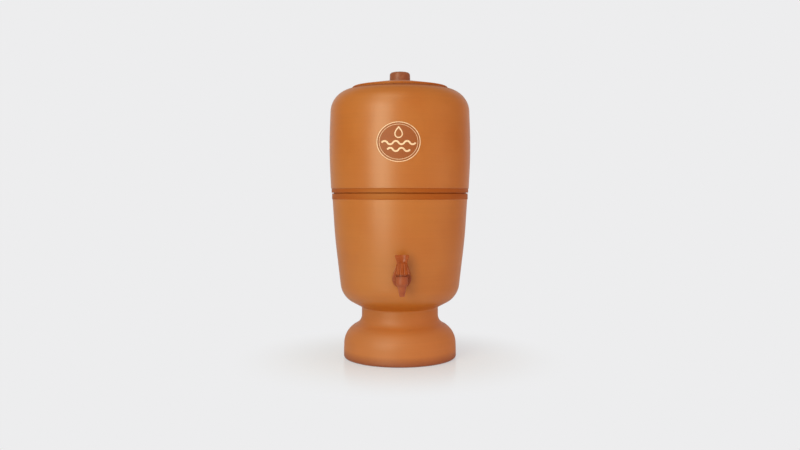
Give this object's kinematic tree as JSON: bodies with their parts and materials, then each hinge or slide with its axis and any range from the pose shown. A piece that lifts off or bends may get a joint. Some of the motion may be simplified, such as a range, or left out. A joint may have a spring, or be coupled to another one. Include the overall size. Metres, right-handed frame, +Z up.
{
  "type": "clay water pot with tap",
  "caption": "Two-chamber terracotta gravity water filter on a pedestal foot, with a lid, a ceramic candle, a float valve and a quarter-turn tap.",
  "frame": {"origin": "centre of the foot's resting ring, on the surface the pot stands on", "axes": "+Z up, the tap points to -Y, +X is to the right of someone facing the tap"},
  "size_m": [0.2454, 0.2625, 0.4958],
  "materials": {
    "lower_clay": "smooth satin terracotta",
    "upper_clay": "smooth satin terracotta",
    "lid_clay": "smooth satin terracotta",
    "knob_plastic": "satin moulded plastic",
    "tap_plastic": "satin moulded plastic",
    "handle_plastic": "satin moulded plastic",
    "plug_plastic": "moulded plastic",
    "nut_plastic": "moulded plastic",
    "candle_plastic": "moulded plastic",
    "valve_plastic": "moulded plastic",
    "float_plastic": "moulded plastic",
    "candle_ceramic": "unglazed porous white ceramic",
    "candle_carbon": "packed carbon granules",
    "gasket_rubber": "moulded rubber",
    "washer_rubber": "moulded rubber",
    "seal_rubber": "moulded rubber",
    "screw_steel": "stainless steel",
    "washer_steel": "stainless steel",
    "pin_steel": "stainless steel"
  },
  "bodies": {
    "reservoir": {"lower_chamber": "lower_clay", "tap_body": "tap_plastic", "tap_cap_nut": "tap_plastic", "tap_outer_washer": "washer_rubber", "tap_inner_washer": "washer_rubber", "tap_lock_nut": "nut_plastic"},
    "tap_valve": {"tap_handle": "handle_plastic", "tap_plug": "plug_plastic", "tap_plug_o_ring": "seal_rubber"},
    "filter_chamber": {"upper_chamber": "upper_clay", "candle_base": "candle_plastic", "candle_shell": "candle_ceramic", "candle_carbon_fill": "candle_carbon", "candle_top_gasket": "gasket_rubber", "candle_bottom_gasket": "gasket_rubber", "candle_wing_nut": "nut_plastic", "float_valve_body": "valve_plastic", "float_pivot_pin": "pin_steel"},
    "float": {"float_arm": "valve_plastic", "float_seal_pad": "seal_rubber", "float_upper_half": "float_plastic", "float_lower_half": "float_plastic"},
    "lid": {"lid": "lid_clay", "lid_knob": "knob_plastic", "lid_knob_screw": "screw_steel", "lid_knob_washer": "washer_steel"}
  },
  "joints": [
    {"name": "tap_turn", "type": "hinge", "parent": "reservoir", "child": "tap_valve", "pos_m": [0, -0.12614, 0.147], "axis": [0, 0, 1], "range_deg": [0, 90]},
    {"name": "chamber_lift", "type": "slide", "parent": "reservoir", "child": "filter_chamber", "axis": [0, 0, 1], "range_m": [0, 0.15]},
    {"name": "float_swing", "type": "hinge", "parent": "filter_chamber", "child": "float", "pos_m": [0, -0.012, 0.2415], "axis": [1, 0, 0], "range_deg": [0, 24]},
    {"name": "lid_lift", "type": "slide", "parent": "filter_chamber", "child": "lid", "axis": [0, 0, 1], "range_m": [0, 0.08]}
  ]
}
